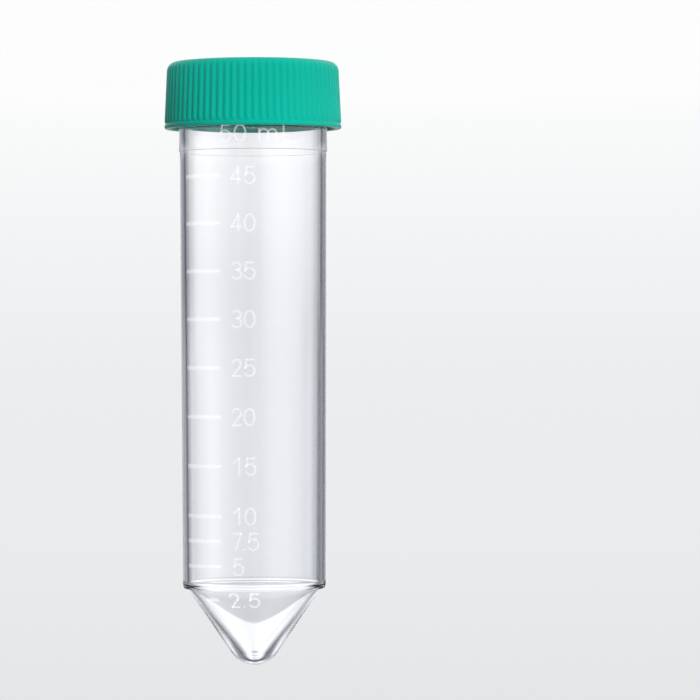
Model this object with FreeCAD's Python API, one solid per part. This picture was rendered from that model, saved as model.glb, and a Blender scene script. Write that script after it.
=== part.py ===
import FreeCAD, Part

# A 50 ml conical centrifuge tube with its screw cap, in millimetres.
#
# The tube is one clear moulding: mouth, neck, collar, a long body with a slight taper,
# and a cone that ends in a rounded tip. Graduation lines stand proud of its wall. The
# cap is one ribbed moulding with a plug ring inside that seals the mouth.
#
# The assembly stands on the flat top of its cap, so the cap is at the bottom and the
# tip points up. Heights are measured up from that flat face, and both pieces are
# turned about Z. The graduation lines face -Y and +X.

import math
import os

# Tube, outside
body_top_r = 14.34
body_taper = 0.38
body_length = 85.15
corner_round = 0.93
cone_half_angle = 34.0
tip_r = 5.48
collar_step = 0.14
collar_step_length = 0.1
collar_below_rim = 0.8
collar_above_rim = 4.45
neck_step = 0.05
mouth_round = 0.25

# Tube, inside
body_wall = 1.08
bore_taper = 0.5
cone_wall = 0.76
cavity_half_angle = 34.3
cavity_bulge_r = 150.0
cavity_round = 3.0
tip_wall = 1.3

# Cap, outside
cap_height = 13.0
cap_wall = 1.65
cap_taper = 0.57
cap_edge_round = 1.3
rim_band_height = 0.95
rim_round = 0.3
rib_count = 76
rib_height = 0.25
rib_width = 1.0
rib_sink = 0.3

# Cap, inside: the thread stands in the gap between the neck and the bore
cap_top_thickness = 1.6
thread_height = 1.05
thread_clearance = 0.28
rim_chamfer = 0.4
plug_length = 3.0
plug_wall = 1.1
plug_lead = 0.5
plug_clearance = 0.08

# Raised graduation lines: a line each step of millilitres, angles from -Y towards +X
line_step = 5.0
line_width = 0.7
line_height = 0.12
line_sink = 0.2
body_line_angles = (25.0, 64.0)
cone_line_angles = (33.2, 50.0)
cone_line_drop = 1.8
meniscus_dip = 0.15

# Sizes that follow from the ones above
slope = math.tan(math.radians(cone_half_angle))
sine = math.sin(math.radians(cone_half_angle))
cosine = math.cos(math.radians(cone_half_angle))

collar_r = body_top_r + collar_step
neck_r = body_top_r - neck_step
cap_bore_r = neck_r + thread_height + thread_clearance
cap_rim_r = cap_bore_r + cap_wall

mouth_z = cap_top_thickness
collar_start_z = cap_height - collar_below_rim
collar_end_z = cap_height + collar_above_rim
body_end_z = collar_end_z + body_length
rib_end_z = cap_height - rim_band_height

bore_top_r = body_top_r - body_wall
bore_bottom_r = bore_top_r - bore_taper
cone_top_r = body_top_r - body_taper - corner_round

apex_z = body_end_z + cone_top_r / slope
tip_z = apex_z - tip_r * (1 / sine - 1)

# The hollow cone bulges: its wall is an arc that starts inside the cone's top, tangent to
# the round tip at one end and to the round corner of the bore at the other
lean = math.radians(cavity_half_angle)
bulge_centre_r = cone_top_r - cone_wall * cosine - cavity_bulge_r * math.cos(lean)
bulge_centre_z = body_end_z - cone_wall * sine - cavity_bulge_r * math.sin(lean)
cavity_tip_z = tip_z - tip_wall
to_tip = cavity_tip_z - cavity_bulge_r - bulge_centre_z
tip_offset = -(bulge_centre_r ** 2 + to_tip ** 2) / (2 * to_tip)
cavity_tip_r = cavity_bulge_r - tip_offset
cavity_tip_angle = math.degrees(math.atan2(to_tip + tip_offset, -bulge_centre_r))
corner_offset = bore_bottom_r - cavity_round - bulge_centre_r
cavity_start_z = bulge_centre_z + math.sqrt((cavity_bulge_r - cavity_round) ** 2 - corner_offset ** 2)
cavity_start_angle = math.degrees(math.asin((cavity_start_z - bulge_centre_z) / (cavity_bulge_r - cavity_round)))

origin = FreeCAD.Vector(0, 0, 0)
up = FreeCAD.Vector(0, 0, 1)


# Profiles: closed outlines in the plane of X and Z, as (r, z) pairs

def vector(pair):
    """The point at radius r and height z."""
    return FreeCAD.Vector(pair[0], 0, pair[1])


def straight(*pairs):
    """Straight edges from each point to the next."""
    return [Part.LineSegment(vector(a), vector(b)).toShape() for a, b in zip(pairs, pairs[1:])]


def rounded(centre, radius, start, end):
    """A round edge about a centre, from one angle to another in degrees, 0 pointing outwards."""
    on_arc = []
    for degrees in (start, (start + end) / 2, end):
        angle = math.radians(degrees)
        on_arc.append(vector((centre[0] + radius * math.cos(angle), centre[1] + radius * math.sin(angle))))
    return [Part.Arc(*on_arc).toShape()]


def turned(edges, start=0, sweep=360):
    """The solid that a closed outline makes when it turns about Z, from start degrees on."""
    face = Part.Face(Part.Wire(edges))
    face.rotate(origin, up, start)
    return face.revolve(origin, up, sweep)


# The cap

def skirt_root_r(z):
    """The cap's outer radius between its ribs: a straight taper that widens to the rim."""
    narrowing = cap_taper * (cap_height - z) / (cap_height - cap_edge_round)
    return cap_rim_r - narrowing - rib_height


def cap_outside():
    """The cap's outline from its flat top round the skirt to the rim."""
    root_r = skirt_root_r(cap_edge_round)
    flat_r = root_r - cap_edge_round
    round_z = cap_height - rim_round
    edges = straight((0, 0), (flat_r, 0))
    edges += rounded((flat_r, cap_edge_round), cap_edge_round, -90, 0)
    edges += straight((root_r, cap_edge_round), (skirt_root_r(rib_end_z), rib_end_z),
                      (cap_rim_r, rib_end_z + rib_height), (cap_rim_r, round_z))
    edges += rounded((cap_rim_r - rim_round, round_z), rim_round, 0, 90)
    return edges


def cap_inside():
    """The cap's outline from the rim down the bore, round the plug ring and to the axis."""
    plug_r = bore_top_r - plug_clearance
    plug_bore_r = plug_r - plug_wall
    plug_end_z = cap_top_thickness + plug_length
    return straight((cap_rim_r - rim_round, cap_height), (cap_bore_r + rim_chamfer, cap_height),
                    (cap_bore_r, cap_height - rim_chamfer), (cap_bore_r, cap_top_thickness),
                    (plug_r, cap_top_thickness), (plug_r, plug_end_z - plug_lead),
                    (plug_r - plug_lead, plug_end_z), (plug_bore_r, plug_end_z),
                    (plug_bore_r, cap_top_thickness), (0, cap_top_thickness), (0, 0))


def rib(angle):
    """One grip rib: a rounded crest with its foot sunk in the skirt, drawn out along the skirt's taper."""
    root_r = skirt_root_r(cap_edge_round)
    half_width = rib_width / 2
    left = FreeCAD.Vector(root_r, -half_width, cap_edge_round)
    crest = FreeCAD.Vector(root_r + rib_height, 0, cap_edge_round)
    right = FreeCAD.Vector(root_r, half_width, cap_edge_round)
    sunk = FreeCAD.Vector(-rib_sink, 0, 0)
    foot = (right, right + sunk, left + sunk, left)
    edges = [Part.Arc(left, crest, right).toShape()]
    edges += [Part.LineSegment(a, b).toShape() for a, b in zip(foot, foot[1:])]
    run = FreeCAD.Vector(skirt_root_r(rib_end_z) - root_r, 0, rib_end_z - cap_edge_round)
    bar = Part.Face(Part.Wire(edges)).extrude(run)
    bar.rotate(origin, up, angle)
    return bar


def make_cap():
    """The turned shell with its ribs joined on."""
    ribs = [rib(360 * (index + 0.5) / rib_count) for index in range(rib_count)]
    return turned(cap_outside() + cap_inside()).fuse(ribs).removeSplitter()


# The tube

def body_r(z):
    """The body's outer radius: a straight taper from the collar to the cone."""
    return body_top_r - body_taper * (z - collar_end_z) / body_length


def tube_outside():
    """The tube's outline from its mouth along the neck, collar, body and cone to the tip."""
    corner_z = body_end_z - corner_round
    edges = straight((bore_top_r + mouth_round, mouth_z), (neck_r - mouth_round, mouth_z),
                     (neck_r, mouth_z + mouth_round), (neck_r, collar_start_z),
                     (collar_r, collar_start_z + collar_r - neck_r),
                     (collar_r, collar_end_z - collar_step_length), (body_top_r, collar_end_z),
                     (body_r(corner_z), corner_z))
    edges += rounded((body_r(corner_z) - corner_round, corner_z), corner_round, 0, 90)
    edges += straight((body_r(corner_z) - corner_round, body_end_z), (cone_top_r, body_end_z),
                      (tip_r * cosine, tip_z - tip_r + tip_r * sine))
    edges += rounded((0, tip_z - tip_r), tip_r, cone_half_angle, 90)
    return edges


def cone_cavity():
    """The outline of the hollow cone: the rounded tip, the bulging wall and the corner of the bore."""
    edges = rounded((0, cavity_tip_z - cavity_tip_r), cavity_tip_r, 90, cavity_tip_angle)
    edges += rounded((bulge_centre_r, bulge_centre_z), cavity_bulge_r, cavity_tip_angle, cavity_start_angle)
    edges += rounded((bore_bottom_r - cavity_round, cavity_start_z), cavity_round, cavity_start_angle, 0)
    return edges


def tube_inside():
    """The tube's outline from the tip down through the cavity to the mouth."""
    edges = straight((0, tip_z), (0, cavity_tip_z))
    edges += cone_cavity()
    edges += straight((bore_bottom_r, cavity_start_z), (bore_top_r, collar_end_z),
                      (bore_top_r, mouth_z + mouth_round), (bore_top_r + mouth_round, mouth_z))
    return edges


def cone_volume():
    """What the hollow cone holds, in cubic millimetres."""
    lid = straight((bore_bottom_r, cavity_start_z), (0, cavity_start_z), (0, cavity_tip_z))
    return turned(cone_cavity() + lid).Volume


def level_z(volume_ml):
    """The height of a line: the bore's or the cone's volume solved for the level, read at the meniscus."""
    in_bore = 1000 * volume_ml - cone_volume()
    widening = bore_taper / (cavity_start_z - collar_end_z)
    if in_bore < 0:
        widening = slope
    level_r = (bore_bottom_r ** 3 + 3 * widening * in_bore / math.pi) ** (1 / 3)
    return cavity_start_z - (level_r - bore_bottom_r) / widening + meniscus_dip


def line_volumes():
    """The volumes that get a line: one and a half steps, and each whole step up to the collar."""
    volumes = [1.5 * line_step]
    while level_z(len(volumes) * line_step) > collar_end_z + line_width:
        volumes.append(len(volumes) * line_step)
    return volumes


def line_place(z):
    """Where a line at height z lies on the wall: its middle point, and how far the wall leans there."""
    if z < body_end_z - corner_round - line_width / 2:
        return (body_r(z), z), math.degrees(math.atan(body_taper / body_length))
    cone_z = max(z, body_end_z + line_width / 2)
    return (cone_top_r - (cone_z - body_end_z) * slope, cone_z), cone_half_angle


def raised_line(middle, lean, angles):
    """A raised line round the wall: a strip across it at a middle point, lean degrees off upright."""
    along = (-math.sin(math.radians(lean)), math.cos(math.radians(lean)))
    out = (along[1], -along[0])
    strip = ((-1, -line_sink), (1, -line_sink), (1, line_height), (-1, line_height), (-1, -line_sink))
    corners = []
    for side, lift in strip:
        step = side * line_width / 2
        corners.append((middle[0] + step * along[0] + lift * out[0],
                        middle[1] + step * along[1] + lift * out[1]))
    return turned(straight(*corners), angles[0] - 90, angles[1] - angles[0])


def make_tube():
    """The turned wall with its raised graduation lines joined on."""
    lines = []
    for volume in line_volumes():
        middle, lean = line_place(level_z(volume))
        lines.append(raised_line(middle, lean, body_line_angles))
    middle, lean = line_place(body_end_z + cone_line_drop)
    lines.append(raised_line(middle, lean, cone_line_angles))
    return turned(tube_outside() + tube_inside()).fuse(lines).removeSplitter()


def write(name, shape):
    """Write a piece to its own file and print what it is."""
    print(name, "solids", len(shape.Solids), "valid", shape.isValid(), "volume", round(shape.Volume, 1))
    shape.exportStep("parts/" + name + ".step")


os.makedirs("parts", exist_ok=True)
write("cap", make_cap())
write("tube", make_tube())
print("height", round(tip_z, 3), "cap across", round(2 * cap_rim_r, 3), "cone holds", round(cone_volume(), 1))
print("line heights", [round(level_z(volume), 2) for volume in line_volumes()])
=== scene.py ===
# %% [markdown]
# # A clear conical tube with a ribbed screw cap
#
# This lesson makes the looks of a 50 ml conical tube. The tube is one clear moulding: a mouth
# with a screw thread, a collar, a long body with a slight taper and a cone with a round tip.
# Its cap is one ribbed green moulding. The pair stands on the flat top of the cap, so the tip
# points up, and every length below is in metres in that frame.
#
# Clear plastic has no colour of its own to paint. What the eye reads as "clear" is the light
# that bends and bounces inside the wall, so most of the work goes into two things: a wall with
# its true thickness, and a studio around it that is bright behind and darker at the sides.

import bpy
import numpy as np
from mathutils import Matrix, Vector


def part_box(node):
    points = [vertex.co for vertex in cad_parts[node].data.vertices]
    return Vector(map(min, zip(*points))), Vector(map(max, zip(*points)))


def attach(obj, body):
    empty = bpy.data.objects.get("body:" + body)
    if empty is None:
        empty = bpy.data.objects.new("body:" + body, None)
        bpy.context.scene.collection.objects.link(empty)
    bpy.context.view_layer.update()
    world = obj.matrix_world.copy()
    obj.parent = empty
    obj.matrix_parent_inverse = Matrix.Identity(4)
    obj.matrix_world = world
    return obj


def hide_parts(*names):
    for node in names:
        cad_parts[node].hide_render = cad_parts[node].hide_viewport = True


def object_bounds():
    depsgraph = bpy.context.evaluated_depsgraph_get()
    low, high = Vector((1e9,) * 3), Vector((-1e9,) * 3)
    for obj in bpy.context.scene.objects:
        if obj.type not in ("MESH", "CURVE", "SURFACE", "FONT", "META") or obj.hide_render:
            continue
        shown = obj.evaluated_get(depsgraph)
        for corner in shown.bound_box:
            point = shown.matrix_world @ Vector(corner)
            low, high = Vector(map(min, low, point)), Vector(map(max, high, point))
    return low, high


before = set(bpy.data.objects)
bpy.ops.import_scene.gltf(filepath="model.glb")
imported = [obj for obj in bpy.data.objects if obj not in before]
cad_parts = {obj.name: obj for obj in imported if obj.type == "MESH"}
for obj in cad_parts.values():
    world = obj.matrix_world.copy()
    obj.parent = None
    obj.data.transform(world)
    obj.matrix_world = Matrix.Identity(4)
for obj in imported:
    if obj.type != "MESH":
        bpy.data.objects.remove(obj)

cad_low, cad_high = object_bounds()
tube_low, tube_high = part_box("tube")
cap_low, cap_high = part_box("cap")
mm = 0.001
print("CAD box in mm", [round(1000 * size, 2) for size in cad_high - cad_low])

# %% [markdown]
# ## Turned shapes
#
# Both mouldings are bodies of revolution with small features on top: ribs, threads. They could
# be drawn with the Spin or Screw tools, or carved with booleans. Here each is a grid instead:
# rows follow the outline from one point on the axis to another, columns go round. A grid keeps
# its quads even, which matters for clear plastic, where every kink in the surface shows as a
# kink in what is seen through it, and a feature is then only a height added to the grid.

# %% Arcs and corners

def arc(centre, radius, start, end, step=8.0):
    """Points on a circle about a centre, from one angle to another in degrees, 0 pointing outwards.

    They lie at even angles, no more than step degrees apart.
    """
    count = max(2, int(np.ceil(abs(end - start) / step)) + 1)
    angles = np.radians(np.linspace(start, end, count))
    return np.column_stack([centre[0] + radius * np.cos(angles), centre[1] + radius * np.sin(angles)])


def corner(before, here, after, radius, step):
    """A round corner: the arc that touches both runs, its centre on the line that halves the angle.

    The arc starts radius / tan(half angle) before the corner. Its points are a spherical blend
    of the two arms, sin((1 - t) w) and sin(t w) over sin(w), where w is the angle it turns and
    the share t goes from 0 to 1.
    """
    back = (before - here) / np.linalg.norm(before - here)
    ahead = (after - here) / np.linalg.norm(after - here)
    half = np.arccos(np.clip(back @ ahead, -1, 1)) / 2
    middle = (back + ahead) / np.linalg.norm(back + ahead)
    centre = here + middle * radius / np.sin(half)
    first_arm = here + back * radius / np.tan(half) - centre
    last_arm = here + ahead * radius / np.tan(half) - centre
    turn = np.pi - 2 * half
    count = max(2, int(np.ceil(np.degrees(turn) / step)) + 1)
    share = np.linspace(0, 1, count)[:, None]
    arms = np.sin((1 - share) * turn) * first_arm + np.sin(share * turn) * last_arm
    return centre + arms / np.sin(turn)


def outline(*corners, step=8.0):
    """Straight runs from corner to corner, each corner (r, z, radius) rounded by its radius.

    The points round a corner are no more than step degrees apart.
    """
    places = np.array([place[:2] for place in corners])
    pieces = [places[:1]]
    for before, here, after, place in zip(places, places[1:], places[2:], corners[1:]):
        pieces.append(corner(before, here, after, place[2], step))
    return np.vstack(pieces + [places[-1:]])


print("A right angle rounded by 1:", outline((0, 0), (1, 0, 1.0), (1, 1)).round(2).tolist()[:3], "...")

# %% Rows

def along(points):
    """How far along a line of points each point lies: the running sum of the steps between them."""
    return np.concatenate([[0], np.cumsum(np.linalg.norm(np.diff(points, axis=0), axis=1))])


def with_rows(points, step, fine=()):
    """The same line with more points: none further apart than step, and closer in the fine bands.

    A band is (low z, high z, step). The corners stay, and the rows between them are spread evenly.
    """
    rounding = 1e-6
    distance = along(points)
    pieces = []
    for start, end, a, b in zip(distance, distance[1:], points, points[1:]):
        middle = (a[1] + b[1]) / 2
        steps = [step] + [close for low, high, close in fine if low <= middle <= high]
        count = max(1, int(np.ceil((end - start) / min(steps) - rounding)))
        pieces.append(np.linspace(start, end, count, endpoint=False))
    rows = np.concatenate(pieces + [distance[-1:]])
    return np.column_stack([np.interp(rows, distance, points[:, 0]), np.interp(rows, distance, points[:, 1])])


one_metre = np.array([(0.0, 0.0), (0.0, 1.0)])
print("A run of 1 m in steps of 0.3 m has", len(with_rows(one_metre, 0.3)), "rows")

# %% Grids

def mesh_piece(name, vertices, faces, materials):
    """A new object at the origin with the given vertices, faces and materials, shaded smooth."""
    mesh = bpy.data.meshes.new(name)
    mesh.from_pydata(vertices.tolist(), [], faces)
    mesh.validate()
    for material in materials:
        mesh.materials.append(material)
    mesh.shade_smooth()
    piece = bpy.data.objects.new(name, mesh)
    bpy.context.scene.collection.objects.link(piece)
    return piece


def face_centres(piece):
    """The centre of each face of a piece, one row each."""
    flat = np.empty(3 * len(piece.data.polygons))
    piece.data.polygons.foreach_get("center", flat)
    return flat.reshape(-1, 3)


def normals_of(points):
    """The outward direction at each point of an outline: its run turned by a quarter, to the left."""
    runs = np.gradient(points, axis=0)
    runs /= np.linalg.norm(runs, axis=1)[:, None]
    return np.column_stack([-runs[:, 1], runs[:, 0]])


def turned(name, points, angles, lift, materials):
    """A closed body of revolution whose outline starts and ends on the axis.

    The point at row i and column j is the outline's point i, moved outwards by lift[i, j] along
    the outline's normal, and turned about Z by angle j, measured from -Y towards +X. The first
    and last rows are one vertex each.
    """
    outward = normals_of(points)
    radius = points[:, :1] + lift * outward[:, :1]
    height = points[:, 1:] + lift * outward[:, 1:]
    grid = np.stack([radius * np.sin(angles), -radius * np.cos(angles), height + 0 * angles], axis=-1)
    rings = grid[1:-1].reshape(-1, 3)
    poles = np.array([[0, 0, points[0, 1]], [0, 0, points[-1, 1]]])
    rows, columns = len(points) - 2, len(angles)
    here = np.arange(rows * columns).reshape(rows, columns)
    beside = np.roll(here, -1, axis=1)
    quads = np.stack([here[:-1], here[1:], beside[1:], beside[:-1]], axis=-1).reshape(-1, 4)
    first, last = rows * columns, rows * columns + 1
    start_fan = np.stack([np.full(columns, first), here[0], beside[0]], axis=-1)
    end_fan = np.stack([np.full(columns, last), beside[-1], here[-1]], axis=-1)
    faces = quads.tolist() + start_fan.tolist() + end_fan.tolist()
    return mesh_piece(name, np.vstack([rings, poles]), faces, materials)


print("Grids are ready")

# %% [markdown]
# ## Finishes
#
# The tube is clear plastic, a little less clear than glass. Principled with Transmission at 1
# bends light by its IOR. Left alone it would also cast a black shadow, because Cycles does not
# send lamp light through a bending surface directly, so for shadow rays it is mixed with a
# Transparent shader. The wall also drinks a little light along the way, which is invisible
# through one wall and turns the long way round the rim blue-grey.
#
# The raised marks are frosted. Each is mostly see-through, and a glow of its own stands for the
# light that frosting scatters: a little less on the numerals, and a little more on the cone,
# where the marks would otherwise be too faint. The cap is opaque with a satin skin, and its
# inside is painted darker and duller: painted shade for the shade that the gap under its rim has in the hand.

# %% Node helpers

def new_material(name):
    """A material with nodes, its tree and its Principled shader."""
    material = bpy.data.materials.new(name)
    material.use_nodes = True
    tree = material.node_tree
    return material, tree, tree.nodes["Principled BSDF"]


def add(tree, kind, **settings):
    """A node of one kind in a tree, with its settings."""
    node = tree.nodes.new(kind)
    for setting, value in settings.items():
        setattr(node, setting, value)
    return node


def dial(node, values):
    """Sets a node's inputs, each given by its name, to plain values."""
    for name, value in values.items():
        node.inputs[name].default_value = value


print("Materials and nodes can be made")

# %% Joining nodes

def feed(tree, sockets, sources):
    """Gives each socket its source: a link from another node's output, or else a plain value."""
    for socket, source in zip(sockets, sources):
        if hasattr(source, "links"):
            tree.links.new(source, socket)
        else:
            socket.default_value = source


def maths(tree, operation, first, second):
    """A Math node on two sockets or plain numbers, returned as its output."""
    node = add(tree, "ShaderNodeMath", operation=operation)
    feed(tree, node.inputs, (first, second))
    return node.outputs[0]


def blend(tree, factor, first, second, blend_type="MIX"):
    """Two colours mixed by a factor, or multiplied."""
    node = add(tree, "ShaderNodeMix", data_type="RGBA", blend_type=blend_type)
    feed(tree, (node.inputs[0], node.inputs[6], node.inputs[7]), (factor, first, second))
    return node.outputs[2]


def map_range(tree, value, start, end, low=0.0, high=1.0, interpolation="LINEAR"):
    """A Map Range node: goes from low to high while the value goes from start to end."""
    node = add(tree, "ShaderNodeMapRange", interpolation_type=interpolation)
    dial(node, {"From Min": start, "From Max": end, "To Min": low, "To Max": high})
    tree.links.new(value, node.inputs["Value"])
    return node.outputs[0]


def noise(tree, place, scale):
    """A Noise Texture's value at a place, with this many waves to the metre."""
    node = add(tree, "ShaderNodeTexNoise")
    node.inputs["Scale"].default_value = scale
    tree.links.new(place, node.inputs["Vector"])
    return node.outputs["Fac"]


def mix_shaders(tree, factor, first, second):
    """A Mix Shader node: the first shader where the factor is 0, the second where it is 1."""
    node = add(tree, "ShaderNodeMixShader")
    feed(tree, node.inputs, (factor, first, second))
    return node.outputs[0]


def let_lamps_through(tree, shader):
    """Mixes a shader with Transparent for shadow rays, so that lamps shine through the piece."""
    is_shadow = add(tree, "ShaderNodeLightPath").outputs["Is Shadow Ray"]
    transparent = add(tree, "ShaderNodeBsdfTransparent").outputs[0]
    surface = mix_shaders(tree, is_shadow, shader, transparent)
    tree.links.new(surface, tree.nodes["Material Output"].inputs["Surface"])


print("Nodes can be joined")

# %% Clear plastic and frosting

def clear_plastic():
    """Clear moulded plastic: bends light by 1.5, with a polish short of glass, and drinks a little."""
    material, tree, shader = new_material("clear_plastic")
    dial(shader, {"Base Color": (1.0, 0.999, 1.0, 1), "Roughness": 0.02, "IOR": 1.5,
                  "Transmission Weight": 1.0})
    let_lamps_through(tree, shader.outputs[0])
    drink = add(tree, "ShaderNodeVolumeAbsorption")
    dial(drink, {"Color": (0.725, 0.785, 0.895, 1), "Density": 75})
    tree.links.new(drink.outputs[0], tree.nodes["Material Output"].inputs["Volume"])
    return material


def frosted_marks(name, glow):
    """The skin of the raised marks: mostly see-through, with a glow for the light it scatters."""
    material, tree, shader = new_material(name)
    dial(shader, {"Base Color": (0.2, 0.205, 0.21, 1), "Roughness": 0.5, "Specular IOR Level": 0.0,
                  "Alpha": 0.16, "Emission Color": (0.97, 0.985, 1.0, 1), "Emission Strength": glow})
    let_lamps_through(tree, shader.outputs[0])
    return material


clear = clear_plastic()
line_skin = frosted_marks("frosted_lines", glow=1.0)
numeral_skin = frosted_marks("frosted_numerals", glow=0.92)
cone_skin = frosted_marks("frosted_cone_marks", glow=1.25)
print("Clear finishes:", clear.name, line_skin.name, numeral_skin.name, cone_skin.name)

# %% Green plastic

def green_plastic(name, shade, gloss):
    """Satin green moulding: a fine pebbled skin, with the colour a touch uneven as in real masterbatch.

    The colour is scaled by shade, and gloss is the shader's specular level; a shade below 1 is painted shade.
    One slow noise mixes a deeper and a paler green, and one fine noise drives both the roughness and the
    bump.
    """
    material, tree, shader = new_material(name)
    dial(shader, {"Specular IOR Level": gloss, "Specular Tint": (0.25, 1.0, 0.9, 1)})
    place = add(tree, "ShaderNodeTexCoord").outputs["Object"]
    cloud = noise(tree, place, scale=90)
    deeper = (0.0035 * shade, 0.44 * shade, 0.33 * shade, 1)
    paler = (0.0045 * shade, 0.49 * shade, 0.37 * shade, 1)
    tree.links.new(blend(tree, cloud, deeper, paler), shader.inputs["Base Color"])
    grain = noise(tree, place, scale=2500)
    roughness = map_range(tree, grain, start=0.0, end=1.0, low=0.3, high=0.42)
    tree.links.new(roughness, shader.inputs["Roughness"])
    bump = add(tree, "ShaderNodeBump")
    dial(bump, {"Strength": 0.12, "Distance": 0.03 * mm})
    tree.links.new(grain, bump.inputs["Height"])
    tree.links.new(bump.outputs[0], shader.inputs["Normal"])
    return material


green = green_plastic("green_plastic", shade=1.0, gloss=0.2)
# The cap's inside is the same green, darker and less glossy: painted shade for the gap under its rim.
green_painted_shade = green_plastic("green_painted_shade", shade=0.6, gloss=0.05)
print("Green finishes:", green.name, green_painted_shade.name)

# %% [markdown]
# ## The tube's wall
#
# Injection moulding gives a wall of about a millimetre round a bore that widens a little towards
# the mouth, so that the core can be drawn out. The cone's wall is thinner, and grows thicker at
# its tip. The outline below has only the corners that this shape needs. Its heights come from
# the frame: the tip and the mouth are the ends of the tube's box, and the collar reaches just
# past the cap's rim.

# %% Tube sizes
collar_step = 0.14 * mm
neck_step = 0.05 * mm
collar_under_cap = 0.8 * mm
collar_shown = 4.45 * mm
body_length = 85.15 * mm
body_taper = 0.38 * mm
body_wall = 1.08 * mm
bore_taper = 0.5 * mm
shoulder_width = 0.93 * mm
cone_angle = np.radians(34.0)
cone_wall = 0.76 * mm
tip_r = 5.48 * mm
tip_wall = 1.3 * mm
cavity_angle = np.radians(34.3)
cavity_round = 2.2 * mm
bulge_r = 150.0 * mm

tip_z = tube_high.z
mouth_z = tube_low.z
rim_z = cap_high.z
collar_start_z = rim_z - collar_under_cap
collar_end_z = rim_z + collar_shown
body_end_z = collar_end_z + body_length
collar_r = tube_high.x
body_top_r = collar_r - collar_step
neck_r = body_top_r - neck_step
body_bottom_r = body_top_r - body_taper
bore_top_r = body_top_r - body_wall
bore_bottom_r = bore_top_r - bore_taper
cone_top_r = body_bottom_r - shoulder_width
print("The wall is", round(1000 * body_wall, 2), "mm at the collar and",
      round(1000 * (body_bottom_r - bore_bottom_r), 2), "mm at the cone")

# %% [markdown]
# The hollow cone bulges a little, so its wall is an arc of a large circle. That circle is fixed
# by where it starts: one wall's thickness inside the top of the outer cone, at a known lean.
# The round tip and the round corner of the bore both touch the circle from inside, and two
# circles that touch from inside have their centres as far apart as their radii differ. Solving
# that for each gives the tip's radius and the height where the corner begins.

# %% Hollow cone
outer_lean = np.array([np.cos(cone_angle), np.sin(cone_angle)])
bulge_lean = np.array([np.cos(cavity_angle), np.sin(cavity_angle)])
bulge_start = np.array([cone_top_r, body_end_z]) - cone_wall * outer_lean
bulge_centre = bulge_start - bulge_r * bulge_lean
cavity_tip_z = tip_z - tip_wall
to_tip = cavity_tip_z - bulge_r - bulge_centre[1]
tip_offset = -(bulge_centre[0] ** 2 + to_tip ** 2) / (2 * to_tip)
cavity_tip_r = bulge_r - tip_offset
bulge_end = np.degrees(np.arctan2(to_tip + tip_offset, -bulge_centre[0]))
corner_offset = bore_bottom_r - cavity_round - bulge_centre[0]
cavity_start_z = bulge_centre[1] + np.sqrt((bulge_r - cavity_round) ** 2 - corner_offset ** 2)
bulge_low = np.degrees(np.arctan2(cavity_start_z - bulge_centre[1], corner_offset))
hollow_cone = np.vstack([
    arc((bore_bottom_r - cavity_round, cavity_start_z), cavity_round, 0, bulge_low, step=4.0),
    arc(bulge_centre, bulge_r, bulge_low, bulge_end, step=0.5)[1:],
    arc((0, cavity_tip_z - cavity_tip_r), cavity_tip_r, bulge_end, 90, step=5.0)[1:]])
print("The cavity's tip is rounded by", round(1000 * cavity_tip_r, 2), "mm")

# %% Tube outline
cone_foot_round = 0.2 * mm
shoulder_slope_width = 0.22 * mm
shoulder_slope_length = 0.7 * mm
shoulder_edge_round = 0.12 * mm
shoulder_end_round = 0.5 * mm
collar_slope = 0.02 * mm
collar_edge_round = 0.03 * mm
neck_edge_round = 0.1 * mm
mouth_round = 0.25 * mm
bore_bend_r = 40.0 * mm

outer_cone = arc((0, tip_z - tip_r), tip_r, 90, np.degrees(cone_angle))
outside = outline(
    outer_cone[-1],
    (cone_top_r, body_end_z, cone_foot_round),
    (body_bottom_r - shoulder_slope_width, body_end_z, shoulder_edge_round),
    (body_bottom_r, body_end_z - shoulder_slope_length, shoulder_end_round),
    (body_top_r, collar_end_z, collar_edge_round),
    (collar_r, collar_end_z - collar_slope, collar_edge_round),
    (collar_r, collar_start_z + collar_r - neck_r, neck_edge_round),
    (neck_r, collar_start_z, neck_edge_round),
    (neck_r, mouth_z, mouth_round),
    (bore_top_r, mouth_z, mouth_round),
    (bore_top_r, collar_end_z, bore_bend_r),
    (bore_bottom_r, cavity_start_z))
tube_line = np.vstack([outer_cone, outside[1:], hollow_cone[1:]])
print("The tube's outline has", len(tube_line), "points before its rows are added")

# %% [markdown]
# ## Screw threads
#
# The neck carries a raised thread, and the cap's bore carries another that runs between its
# turns. Each could be a swept helix joined by a boolean. As a height on the grid it is simpler
# and leaves no seam: the height depends only on how far a point lies from the nearest turn,
# and it fades to nothing at both ends of the thread.

# %% Threads
thread_pitch = 3.2 * mm
thread_turns = 1.75
thread_run_in = 25
thread_start_z = mouth_z + 2.3 * mm


def thread(angles, heights, start_z, crest, foot, flat):
    """The height of a thread at each row and column: a ridge with a flat crest and sloping flanks.

    A turn's middle climbs by the pitch once round. The ridge is full within flat / 2 of it and
    falls to zero at foot / 2. Over the run-in at each end, in degrees, it rises from nothing as
    the first quarter of a sine.
    """
    climbed = (heights[:, None] - start_z) / thread_pitch
    whole = np.round(climbed - angles / (2 * np.pi))
    turned_so_far = np.clip(whole + angles / (2 * np.pi), 0, thread_turns)
    away = np.abs(climbed - turned_so_far) * thread_pitch
    ridge = np.clip((foot / 2 - away) / (foot / 2 - flat / 2), 0, 1)
    to_an_end = np.minimum(turned_so_far, thread_turns - turned_so_far)
    run_in = np.clip(to_an_end * 360 / thread_run_in, 0, 1)
    return crest * ridge * np.sin(run_in * np.pi / 2)


print("A thread of", thread_turns, "turns climbs", round(1000 * thread_turns * thread_pitch, 2), "mm")

# %% Tube grid
tube_row_step = 2.5 * mm
neck_band = (mouth_z + 0.3 * mm, collar_start_z - 0.2 * mm, 0.2 * mm)
tube_column_step = 1.25
hair = 0.01 * mm

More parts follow.
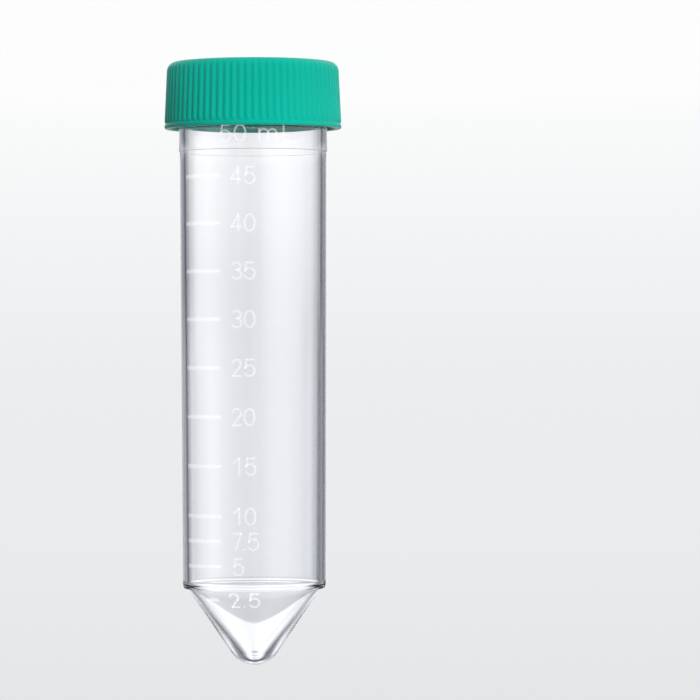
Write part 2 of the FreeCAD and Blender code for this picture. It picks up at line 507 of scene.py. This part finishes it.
tube_rows = with_rows(tube_line, tube_row_step, fine=[neck_band])
tube_angles = np.radians(np.arange(0, 360, tube_column_step))
tube_lift = thread(tube_angles, tube_rows[:, 1], thread_start_z,
                   crest=1.05 * mm, foot=1.5 * mm, flat=0.5 * mm)
on_neck = (tube_rows[:, 0] > neck_r - hair) & (tube_rows[:, 1] < collar_start_z)
tube_lift *= on_neck[:, None]
tube = turned("clear_tube", tube_rows, tube_angles, tube_lift, [clear])
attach(tube, "tube")
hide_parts("tube")
print("Tube:", len(tube.data.polygons), "faces")

# %% [markdown]
# ## Where the marks go
#
# A graduation is where the liquid stands when the tube holds that volume. So the lines on the
# body are not placed by eye: the cavity is cut into thin discs, their volumes are added up from
# the tip, and each line's height is read off that sum. The line for the smallest volume sits on
# the cone, at a height of its own.

# %% Line heights
ml = 1e-6
level_count = 4000
meniscus_dip = 0.15 * mm
body_volumes = [5, 7.5, 10, 15, 20, 25, 30, 35, 40, 45]
cone_volume = 2.5
cone_line_rise = 1.8 * mm

inside = tube_rows[np.argmin(tube_rows[:, 1]):]
levels = np.linspace(cavity_tip_z, mouth_z, level_count)
cavity = inside[np.argsort(inside[:, 1])]
bore = np.interp(levels, cavity[:, 1], cavity[:, 0])
discs = np.pi * ((bore[1:] ** 2 + bore[:-1] ** 2) / 2) * (levels[:-1] - levels[1:])
held = np.concatenate([[0], np.cumsum(discs)])
line_z = {volume: float(np.interp(volume * ml, held, levels)) + meniscus_dip for volume in body_volumes}
line_z[cone_volume] = body_end_z + cone_line_rise
print("Lines at", {volume: round(1000 * z, 2) for volume, z in line_z.items()})

# %% [markdown]
# ## Raised marks
#
# The numerals are drawn with single strokes of even width, the way a round cutter leaves them
# in the mould. A font would bring outlines with sharp corners, so each sign is a few lines and
# arcs in a box one wide and one high. Every stroke becomes a low bead with round ends, laid on
# the wall by its distance along the outline and round it, so the marks follow the body and the
# cone alike.

# %% Strokes

def bow(centre, reach, start, end, step=12):
    """A stroke along an ellipse, from one angle to another, with a point about every step degrees."""
    angles = np.radians(np.linspace(start, end, max(3, int(abs(end - start) / step) + 1)))
    return np.column_stack([centre[0] + reach[0] * np.cos(angles), centre[1] + reach[1] * np.sin(angles)])


def path(start, end):
    """A straight stroke."""
    return np.array([start, end], dtype=float)


signs = {
    "0": [bow((0.5, 0.5), (0.5, 0.5), 90, 450)],
    "1": [path((0.15, 0.74), (0.7, 1.0)), path((0.7, 1.0), (0.7, 0.0))],
    "2": [bow((0.5, 0.72), (0.46, 0.28), 165, -35), path((0.877, 0.56), (0.04, 0)),
          path((0.04, 0), (0.96, 0))],
    "3": [bow((0.5, 0.77), (0.43, 0.23), 155, -90), bow((0.5, 0.27), (0.5, 0.27), 90, -155)],
    "4": [path((0.7, 1.0), (0.0, 0.27)), path((0.0, 0.27), (1.0, 0.27)), path((0.7, 1.0), (0.7, 0.0))],
    "5": [path((0.9, 1.0), (0.22, 1.0)), path((0.22, 1.0), (0.1, 0.5)),
          bow((0.5, 0.33), (0.5, 0.33), 150, -150)],
    "7": [path((0.0, 1.0), (1.0, 1.0)), path((1.0, 1.0), (0.35, 0.0))],
    ".": [path((0.0, 0.02), (0.0, 0.03))],
    "m": [path((0.0, 0.0), (0.0, 0.72)), bow((0.25, 0.5), (0.25, 0.22), 180, 0),
          path((0.5, 0.5), (0.5, 0.0)), bow((0.75, 0.5), (0.25, 0.22), 180, 0),
          path((1.0, 0.5), (1.0, 0.0))],
    "L": [path((0.0, 1.0), (0.0, 0.0)), path((0.0, 0.0), (1.0, 0.0))],
}
print("Signs:", " ".join(signs))

# %% Middle of a bead
bead_step = 0.35 * mm
end_angles = np.radians([90.0, 60.0, 30.0])[:, None]
point_size = 0.02


def spaced(stroke):
    """The same stroke with more points: each of its runs is cut into even steps of at most bead_step."""
    lengths = np.linalg.norm(np.diff(stroke, axis=0), axis=1)
    steps = np.maximum(1, np.ceil(lengths / bead_step)).astype(int)
    knots = np.repeat(np.arange(len(steps)), steps) + np.concatenate([np.arange(n) / n for n in steps])
    spots = np.append(knots, len(steps))
    return np.column_stack([np.interp(spots, np.arange(len(stroke)), stroke[:, k]) for k in (0, 1)])


def centre_line(stroke, half_width):
    """The middle of a bead: its points, which way it runs at each, its width there, and if it closes.

    The width is a share of half_width. A stroke that ends where it starts is a ring, and its
    last point is dropped. Any other stroke gets three more points at each end, which step out
    as a sine while the width shrinks as a cosine, down to a point.
    """
    centre = spaced(stroke)
    run = np.gradient(centre, axis=0)
    run /= np.linalg.norm(run, axis=1)[:, None]
    width = np.ones(len(centre))
    closed = np.linalg.norm(centre[0] - centre[-1]) < hair
    if closed:
        run[0] = run[-1] = (run[0] + run[-1]) / np.linalg.norm(run[0] + run[-1])
        return centre[:-1], run[:-1], width[:-1], closed
    extra = len(end_angles)
    centre = np.vstack([centre[0] - half_width * np.sin(end_angles) * run[0], centre,
                        centre[-1] + half_width * np.sin(end_angles[::-1]) * run[-1]])
    run = np.vstack([np.repeat(run[:1], extra, axis=0), run, np.repeat(run[-1:], extra, axis=0)])
    width = np.concatenate([np.cos(end_angles[:, 0]), width, np.cos(end_angles[::-1, 0])])
    width[[0, -1]] = point_size
    return centre, run, width, closed


print("A stroke 3 mm long has", len(spaced(3 * mm * path((0, 0), (0, 1)))), "points")

# %% Beads
section_points = 12
section_power = 0.85
section_turn = np.linspace(0, 2 * np.pi, section_points, endpoint=False)


def squared(values):
    """Pushes a cosine or sine towards its ends, which turns a round section into a flat-topped one."""
    return np.sign(values) * np.abs(values) ** section_power


def bead(stroke, half_width, height, sink, wall):
    """A low bead along a stroke: rings across it, with the ends closed by a round of the same width.

    Each ring is a flattened loop, half_width to each side, height above the wall and sink below
    it. wall(u, v, lift) gives the place of a point u along the writing and v up it.
    """
    centre, run, width, closed = centre_line(stroke, half_width)
    side = np.column_stack([-run[:, 1], run[:, 0]])
    across = half_width * width[:, None] * squared(np.cos(section_turn))
    up_down = np.where(np.sin(section_turn) > 0, height, sink) * squared(np.sin(section_turn))
    lift = np.sqrt(width)[:, None] * up_down
    u = centre[:, :1] + side[:, :1] * across
    v = centre[:, 1:] + side[:, 1:] * across
    here = np.arange(u.size).reshape(u.shape)
    ahead = np.roll(here, -1, axis=0)
    if not closed:
        here, ahead = here[:-1], ahead[:-1]
    quads = [here, np.roll(here, -1, axis=1), np.roll(ahead, -1, axis=1), ahead]
    faces = np.stack(quads, axis=-1).reshape(-1, 4).tolist()
    if not closed:
        faces += [here[0][::-1].tolist(), ahead[-1].tolist()]
    return wall(u, v, lift).reshape(-1, 3), faces


print("A bead has", len(section_turn), "points round its section")

# %% The wall unrolled
wall_row_step = 0.5 * mm
outer_end = np.argmax(tube_line[:, 1] < collar_start_z)
outer_line = with_rows(tube_line[:outer_end], wall_row_step)
outer_along = along(outer_line)
outer_normal = normals_of(outer_line)


def on_wall(middle_z, left_angle):
    """The wall unrolled: u goes round from left_angle towards -X, v from middle_z towards the cap.

    The marks read with the cap at the top. Returns the function that lays a point on the wall,
    and the wall's radius at that height.
    """
    row = np.interp(-middle_z, -outer_line[:, 1], outer_along)
    radius = np.interp(row, outer_along, outer_line[:, 0])

    def wall(u, v, lift):
        """The place on the tube: the outline's point at v, lifted along its normal, turned by u."""
        spot = row + v
        point_r, point_z = (np.interp(spot, outer_along, outer_line[:, k]) for k in (0, 1))
        normal_r, normal_z = (np.interp(spot, outer_along, outer_normal[:, k]) for k in (0, 1))
        r = point_r + lift * normal_r
        z = point_z + lift * normal_z
        angle = left_angle - u / radius
        return np.stack([r * np.sin(angle), -r * np.cos(angle), z], axis=-1)

    return wall, radius


print("The outer wall is", round(1000 * outer_along[-1], 1), "mm long from the tip to the cap")

# %% Lines and numerals
numeral_height = 3.15 * mm
stroke_half = 0.2 * mm
stroke_rise = 0.05 * mm
line_half = 0.35 * mm
line_rise = 0.06 * mm
line_points = 30
bead_sink = 0.03 * mm
letter_gap = 0.62 * mm
widths_in_mm = {"0": 1.95, "1": 1.85, "2": 1.75, "3": 1.85, "4": 1.95, "5": 2.0, "7": 1.6, ".": 0.1, "m": 3.4,
                "L": 1.95}


def write(text, z, left_angle, gap=letter_gap, stretch=1.0):
    """The beads of a word centred at height z, starting at an angle from -Y towards +X."""
    wall = on_wall(z, np.radians(left_angle))[0]
    beads = []
    pen = stroke_half
    for sign in text:
        size = np.array([widths_in_mm[sign] * stretch * mm, numeral_height])
        for stroke in signs[sign]:
            placed = stroke * size + (pen, -numeral_height / 2)
            beads.append(bead(placed, stroke_half, stroke_rise, bead_sink, wall))
        pen += size[0] + gap
    return beads


def rule(z, start_angle, end_angle):
    """The bead of a graduation line at height z between two angles."""
    wall, radius = on_wall(z, np.radians(end_angle))
    length = np.radians(end_angle - start_angle) * radius
    stroke = np.column_stack([np.linspace(line_half, length - line_half, line_points), np.zeros(line_points)])
    return [bead(stroke, line_half, line_rise, bead_sink, wall)]


rules, numerals = [], []
for volume, z in line_z.items():
    if volume == cone_volume:
        rules += rule(z, start_angle=33.2, end_angle=50)
        numerals += write(f"{volume:g}", z, left_angle=22.8, gap=0.95 * mm)
    else:
        rules += rule(z, start_angle=25, end_angle=64)
        numerals += write(f"{volume:g}", z, left_angle=16.5)
full_z = rim_z + 1.45 * mm
numerals += write("50", full_z, left_angle=25.6, gap=0.8 * mm, stretch=1.1)
numerals += write("mL", full_z, left_angle=-5.3, gap=1.45 * mm)
print("Marks:", len(rules), "lines and", len(numerals), "strokes of numerals")

# %% Joined marks
beads = rules + numerals
mark_vertices = np.vstack([vertices for vertices, faces in beads])
first_corners = np.cumsum([0] + [len(vertices) for vertices, faces in beads])
mark_faces = []
for first, (vertices, faces) in zip(first_corners, beads):
    mark_faces += [[int(corner_index + first) for corner_index in face] for face in faces]
skins = [line_skin, numeral_skin, cone_skin]
marks = mesh_piece("graduations", mark_vertices, mark_faces, skins)
line_faces = sum(len(faces) for vertices, faces in rules)
skin = (np.arange(len(mark_faces)) >= line_faces).astype(np.int32)
past_shoulder_z = body_end_z + 0.1 * mm
skin[face_centres(marks)[:, 2] > past_shoulder_z] = skins.index(cone_skin)
marks.data.polygons.foreach_set("material_index", skin)
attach(marks, "tube")
print("Graduations:", len(marks.data.polygons), "faces")

# %% [markdown]
# ## The cap
#
# The cap is turned on the same kind of grid, from the middle of its inside, out over the plug
# ring that seals the mouth, up the bore, round the rim and back down the skirt. Its 76 ribs are
# a height on the skirt: a shallow arc across each rib and nothing in the gap between two, so
# that they catch the light as bright stripes with thin dark lines between.

# %% Cap sizes
rib_count = 76
rib_height = 0.25 * mm
rib_width = 1.0 * mm
rim_band = 0.95 * mm
skirt_draft = 0.57 * mm
thread_room = 1.33 * mm
plug_clearance = 0.08 * mm
plug_wall = 1.1 * mm
plug_length = 3.0 * mm

rim_r = cap_high.x
foot_z = cap_low.z
rib_end_z = rim_z - rim_band
skirt_top_r = rim_r - skirt_draft - rib_height
bore_r = neck_r + thread_room
plug_r = bore_top_r - plug_clearance
plug_bore_r = plug_r - plug_wall
plug_end_z = mouth_z + plug_length
print("The cap is", round(2000 * rim_r, 2), "mm across its rim and its bore", round(2000 * bore_r, 2), "mm")

# %% Cap outline
plug_foot_round = 0.3 * mm
plug_edge_round = 0.25 * mm
plug_lead_width = 0.3 * mm
plug_lead_length = 0.7 * mm
plug_lead_round = 0.4 * mm
plug_root_round = 0.06 * mm
bore_round = 0.2 * mm
rim_chamfer = 0.4 * mm
rim_inner_round = 0.15 * mm
rim_outer_round = 0.3 * mm
band_edge_round = 0.12 * mm
band_root_round = 0.1 * mm
foot_round = 1.3 * mm

cap_line = outline(
    (0, mouth_z),
    (plug_bore_r, mouth_z, plug_foot_round),
    (plug_bore_r, plug_end_z, plug_edge_round),
    (plug_r - plug_lead_width, plug_end_z, plug_edge_round),
    (plug_r, plug_end_z - plug_lead_length, plug_lead_round),
    (plug_r, mouth_z, plug_root_round),
    (bore_r, mouth_z, bore_round),
    (bore_r, rim_z - rim_chamfer, bore_round),
    (bore_r + rim_chamfer, rim_z, rim_inner_round),
    (rim_r, rim_z, rim_outer_round),
    (rim_r, rib_end_z + rib_height, band_edge_round),
    (rim_r - rib_height, rib_end_z, band_root_round),
    (skirt_top_r, foot_z, foot_round),
    (0, foot_z),
    step=15.0)
print("The cap's outline has", len(cap_line), "points before its rows are added")

# %% Ribs
cap_row_step = 1.2 * mm
thread_band = (mouth_z + 0.3 * mm, rim_z - 0.5 * mm, 0.4 * mm)
columns_per_rib = 8
rib_start_z = 0.5 * mm
rib_rise_length = 1.0 * mm
rib_fall_length = 0.3 * mm
foot_round_reach = 0.35 * mm

cap_rows = with_rows(cap_line, cap_row_step, fine=[thread_band])
row_r, row_z = cap_rows[:, 0], cap_rows[:, 1]
cap_angles = np.radians(np.arange(0, 360, 360 / (rib_count * columns_per_rib)))
rib_turn = (cap_angles * rib_count / (2 * np.pi)) % 1 - 0.5
across_rib = rib_turn * 2 * np.pi * skirt_top_r / rib_count
rib_section = np.clip(1 - (across_rib / (rib_width / 2)) ** 2, 0, None)
on_skirt = (row_r > skirt_top_r - foot_round_reach) & (row_z < rib_end_z + hair)
rib_rise = np.clip((row_z - rib_start_z) / rib_rise_length, 0, 1)
rib_fall = np.clip((rib_end_z - row_z) / rib_fall_length, 0, 1)
cap_lift = rib_height * rib_section * (on_skirt * (rib_rise * rib_fall))[:, None]
print(rib_count, "ribs, one every", round(360 / rib_count, 2), "degrees")

# %% Cap grid
in_bore = (np.abs(row_r - bore_r) < hair) & (row_z > thread_band[0])
cap_thread_z = thread_start_z + thread_pitch / 2
cap_thread = thread(cap_angles, row_z, cap_thread_z, crest=1.1 * mm, foot=1.4 * mm, flat=0.5 * mm)
cap_lift += in_bore[:, None] * cap_thread
cap = turned("ribbed_cap", cap_rows, cap_angles, cap_lift, [green, green_painted_shade])

# Faces inside the cap's bore, above the mouth, take the darker green: painted shade under the rim.
painted_shade_r = bore_r + 0.6 * mm
painted_shade_z = mouth_z - 0.1 * mm
centres = face_centres(cap)
painted_shade_faces = (np.hypot(centres[:, 0], centres[:, 1]) < painted_shade_r) & (centres[:, 2] > painted_shade_z)
cap.data.polygons.foreach_set("material_index", painted_shade_faces.astype(np.int32))
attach(cap, "cap")
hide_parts("cap")
print("Cap:", len(cap.data.polygons), "faces")

# %% [markdown]
# ## The studio
#
# Clear plastic shows best against a bright backdrop that is only as wide as it needs to be.
# Light from straight behind passes through the middle of the tube, and light from the darker
# sides is bent in at its edges, which draws them. The world does this here: what a bent ray
# sees depends on its bearing round the object, which is 0 straight behind it and grows towards
# -X, and on its height above the horizon. Four bands of pale panels and darker gaps lie one
# above the other all the way round, so that the tube is drawn from every side, with a dim
# ceiling over them. The gaps are a little blue. Two more ramps change the light only slightly:
# one straight behind the tube, and one with height.
#
# What the camera sees directly is only the pale backdrop, and diffuse surfaces are lit by an
# even fill and three soft lamps.

# %% Directions

def ramp(factor, stops):
    """A straight Color Ramp over 0 to 1 whose stops are (place, colour or grey)."""
    node = add(sky, "ShaderNodeValToRGB")
    node.color_ramp.interpolation = "LINEAR"
    elements = node.color_ramp.elements
    while len(elements) < len(stops):
        elements.new(1.0)
    for element, (place, colour) in zip(elements, sorted(stops)):
        element.position = place
        element.color = (*colour, 1) if isinstance(colour, tuple) else (colour, colour, colour, 1)
    sky.links.new(factor, node.inputs[0])
    return node.outputs[0]


def at_rise(degrees):
    """Where a direction this many degrees above the horizon falls on the rise from 0 to 1."""
    return 0.5 + 0.5 * float(np.sin(np.radians(degrees)))


world = bpy.data.worlds.new("studio")
bpy.context.scene.world = world
world.use_nodes = True
sky = world.node_tree
direction = add(sky, "ShaderNodeTexCoord").outputs["Generated"]
split = add(sky, "ShaderNodeSeparateXYZ")
sky.links.new(direction, split.inputs[0])
x, y, z = split.outputs
front_half = 12
bearing = maths(sky, "ARCTAN2", maths(sky, "MULTIPLY", x, -1.0), y)
turn = maths(sky, "ADD", maths(sky, "DIVIDE", bearing, float(2 * np.pi)), 0.5)
ahead = maths(sky, "ADD", maths(sky, "DIVIDE", bearing, float(np.radians(2 * front_half))), 0.5)
rise = maths(sky, "ADD", maths(sky, "MULTIPLY", z, 0.5), 0.5)
print("The horizon lies at", at_rise(0), "of the rise")

# %% Panels
low_panels = [
    (-180, 0.15), (-152, 0.05), (-132, 1.0), (-117, 1.3), (-102, 1.1), (-78, 0.5), (-60, 1.0), (-53, 0.6),
    (-45, 0.0), (-36, 0.1), (-30, 0.4), (-25, 0.38), (-20, 0.2), (-16, 0.6), (-8, 1.0), (0, 1.0), (5, 0.95),
    (12, 0.55), (18, 0.05), (22, 0.2), (26, 0.6), (31, 0.2), (38, 0.0), (48, 0.7), (58, 1.2), (76, 0.55),
    (95, 0.9), (115, 0.63), (150, 1.2), (158, 1.05), (170, 0.3)]
high_panels = [
    (-180, 0.5), (-157, 0.12), (-132, 1.3), (-118, 1.65), (-97, 1.13), (-80, 1.35), (-66, 1.9), (-58, 1.5),
    (-50, 0.6), (-44, 0.0), (-38, 0.1), (-31, 0.6), (-27, 0.7), (-23, 0.1), (-18, 0.7), (-13, 0.7), (-6, 1.1),
    (0, 1.0), (6, 0.9), (12, 0.75), (18, 0.12), (24, 0.0), (29, 0.5), (34, 0.48), (42, 0.05), (62, 0.55),
    (84, 0.1), (100, 0.95), (120, 0.85), (153, 1.5), (170, 0.85)]
top_panels = [
    (-180, 0.3), (-140, 0.3), (-100, 0.8), (-60, 0.3), (-28, 0.32), (-25, 0.4), (-22, 0.7), (-18, 1.05),
    (-14, 1.2), (-10, 1.5), (0, 1.5), (10, 1.5), (14, 1.2), (18, 1.05), (22, 0.7), (25, 0.4), (28, 0.32),
    (60, 0.3), (100, 0.8), (140, 0.3)]
over_panels = [
    (-180, 0.3), (-100, 0.6), (-28, 0.32), (-24, 0.5), (-20, 0.8), (-16, 1.1), (-12, 1.6), (-8, 1.7),
    (-5, 1.3), (0, 1.25), (5, 1.3), (8, 1.7), (12, 1.6), (16, 1.1), (20, 0.8), (24, 0.5), (28, 0.32),
    (100, 0.6)]
front_panels = [
    (-12, 1.0), (-7.4, 1.1), (-5.8, 1.09), (-4.7, 1.04), (-4, 1.0), (-3.3, 0.97), (-2.6, 0.95), (-2, 0.96),
    (-1.4, 0.975), (-1, 1.0), (-0.7, 1.035), (-0.3, 1.055), (0.1, 1.07), (1.2, 1.065), (2, 1.055),
    (4.9, 1.055), (8, 1.1), (12, 1.0)]
gap_tint = np.array([0.035, 0.045, 0.07])


def panels(stops):
    """The light round one whole turn, from (bearing in degrees, grey), the darker stops a little blue."""
    tinted = [((degrees + 180) / 360, tuple(grey + max(0, 1 - grey) * gap_tint)) for degrees, grey in stops]
    return ramp(turn, tinted)


def by_height(stops):
    """The light by height, from (degrees above the horizon, colour or grey)."""
    return ramp(rise, [(at_rise(degrees), colour) for degrees, colour in stops])


print("Panels:", [len(stops) for stops in (low_panels, high_panels, top_panels, over_panels, front_panels)])

# %% Backdrop
bands = [(-0.8, 0.6, high_panels), (8.8, 9.2, top_panels), (12.5, 15, over_panels)]
ceiling_start, ceiling_end = 34, 42
ceiling = (0.2, 0.205, 0.215, 1)
even_fill = (0.08, 0.08, 0.082, 1)


def step_up(start, end):
    """Rises smoothly from 0 to 1 between two heights above the horizon in degrees."""
    return map_range(sky, rise, at_rise(start), at_rise(end), interpolation="SMOOTHSTEP")


pale = by_height([(-90, (0.965, 0.97, 0.975)), (-5, (0.97, 0.975, 0.98)), (-3, (0.945, 0.95, 0.955)),
                  (-1.4, (0.885, 0.893, 0.905)), (0.5, (0.83, 0.84, 0.855)), (2.8, (0.82, 0.83, 0.845)),
                  (5, (0.775, 0.785, 0.805)), (90, (0.75, 0.76, 0.78))])
surround = panels(low_panels)
for start, end, stops in bands:
    surround = blend(sky, step_up(start, end), surround, panels(stops))
surround = blend(sky, step_up(ceiling_start, ceiling_end), surround, ceiling)
front = ramp(ahead, [((degrees + front_half) / (2 * front_half), grey) for degrees, grey in front_panels])
lift = by_height([(-5, 1.06), (-1.8, 1.05), (-0.9, 1.01), (0, 1.0), (4.6, 1.0), (5.6, 0.9), (8.6, 0.9),
                  (9.2, 1.0)])
around_light = blend(sky, 1.0, pale, surround, "MULTIPLY")
front_light = blend(sky, 1.0, front, lift, "MULTIPLY")
through = blend(sky, 1.0, around_light, front_light, "MULTIPLY")

light_path = add(sky, "ShaderNodeLightPath").outputs
bent = maths(sky, "MAXIMUM", light_path["Is Glossy Ray"], light_path["Is Transmission Ray"])
unseen = blend(sky, bent, even_fill, through)
shown = blend(sky, light_path["Is Camera Ray"], unseen, pale)
sky.links.new(shown, sky.nodes["Background"].inputs["Color"])
print("The backdrop has", len(bands) + 1, "bands of panels and a ceiling")

# %% [markdown]
# ## The floor and the lamps
#
# The table is white and has no edge: it fades into the backdrop before it ends. A disc that only
# scatters light would need strong lamps to look as white as the backdrop, and they would wash
# out the cap, so most of its white is a glow. The three lamps are soft and weak, and only
# diffuse surfaces see them, because a lamp that is mirrored in clear plastic is a hard white
# square.

# %% Floor
floor_r = 0.26
floor_corner_step = 5.0


def pale_floor():
    """A white table that fades into the backdrop: white near the object, nothing further out.

    Nine tenths of its white is a glow. For diffuse rays part of the glow is held back, a third
    beside the cap and nearly all of it further out, so that the floor doesn't light the cap as
    a lamp would.
    """
    full_share = 0.9
    material, tree, shader = new_material("pale_floor")
    tree.nodes.remove(shader)
    white = add(tree, "ShaderNodeBsdfDiffuse")
    dial(white, {"Color": (0.9, 0.905, 0.91, 1)})
    glow = add(tree, "ShaderNodeEmission")
    dial(glow, {"Color": (1.07, 1.07, 1.075, 1)})
    gone = add(tree, "ShaderNodeBsdfTransparent")
    reach = add(tree, "ShaderNodeVectorMath", operation="LENGTH")
    tree.links.new(add(tree, "ShaderNodeTexCoord").outputs["Object"], reach.inputs[0])
    distance = reach.outputs["Value"]
    held_back = map_range(tree, distance, start=0.018, end=0.06, low=0.3, high=0.88)
    is_diffuse = add(tree, "ShaderNodeLightPath").outputs["Is Diffuse Ray"]
    glow_share = maths(tree, "SUBTRACT", full_share, maths(tree, "MULTIPLY", is_diffuse, held_back))
    lit = mix_shaders(tree, glow_share, white.outputs[0], glow.outputs[0])
    fade = map_range(tree, distance, start=0.09, end=0.24, interpolation="SMOOTHSTEP")
    surface = mix_shaders(tree, fade, lit, gone.outputs[0])
    tree.links.new(surface, tree.nodes["Material Output"].inputs["Surface"])
    return material


around = np.radians(np.arange(0, 360, floor_corner_step))
floor_edge = floor_r * np.column_stack([np.cos(around), np.sin(around), 0 * around])
floor = mesh_piece("floor", floor_edge, [list(range(len(around)))], [pale_floor()])
print("Floor is", round(2 * floor_r, 2), "m across")

# %% Lamps

def soft_lamp(name, bearing, height, distance, size, power):
    """A square soft lamp aimed at the middle of the object.

    It stands at a bearing in degrees, measured from the camera's side (-Y) towards -X, at a
    height and a distance in metres.
    """
    lamp = bpy.data.lights.new(name, "AREA")
    lamp.shape = "SQUARE"
    lamp.size = size
    lamp.energy = power
    stand = bpy.data.objects.new(name, lamp)
    turn = np.radians(bearing)
    middle = (cad_low + cad_high) / 2
    stand.location = (-distance * np.sin(turn), -distance * np.cos(turn), height)
    stand.rotation_mode = "QUATERNION"
    stand.rotation_quaternion = (middle - stand.location).to_track_quat("-Z", "Y")
    stand.visible_camera = False
    stand.visible_glossy = False
    stand.visible_transmission = False
    bpy.context.scene.collection.objects.link(stand)


soft_lamp("key", bearing=24, height=0.06, distance=0.95, size=0.3, power=7.8)
soft_lamp("side", bearing=95, height=0.06, distance=1.0, size=0.5, power=2)
soft_lamp("back", bearing=-150, height=0.3, distance=1.1, size=0.6, power=2)
print("Lamps:", [lamp.name for lamp in bpy.data.lights])

# %% [markdown]
# ## The camera
#
# A long lens from 0.8 m keeps the tube's sides almost parallel. The pair stands on its cap, and
# such a tube is read with its cap at the top, so the camera is rolled by half a turn, and by a
# fifth of a degree more, which leaves the tube leaning slightly.

# %% Camera
lean = np.radians(0.18)
camera_data = bpy.data.cameras.new("camera")
camera_data.lens = 210.65
camera_data.sensor_width = 36
camera_data.clip_start = 0.01
camera_data.clip_end = 50
camera = bpy.data.objects.new("camera", camera_data)
camera.location = (-18.81 * mm, -0.8, 56.2 * mm)
camera.rotation_euler = (np.pi / 2, np.pi + lean, 0)
bpy.context.scene.collection.objects.link(camera)
bpy.context.scene.camera = camera
bpy.context.scene.view_settings.view_transform = "Standard"
print("Camera", round(camera_data.lens), "mm lens at", [round(c, 3) for c in camera.location])
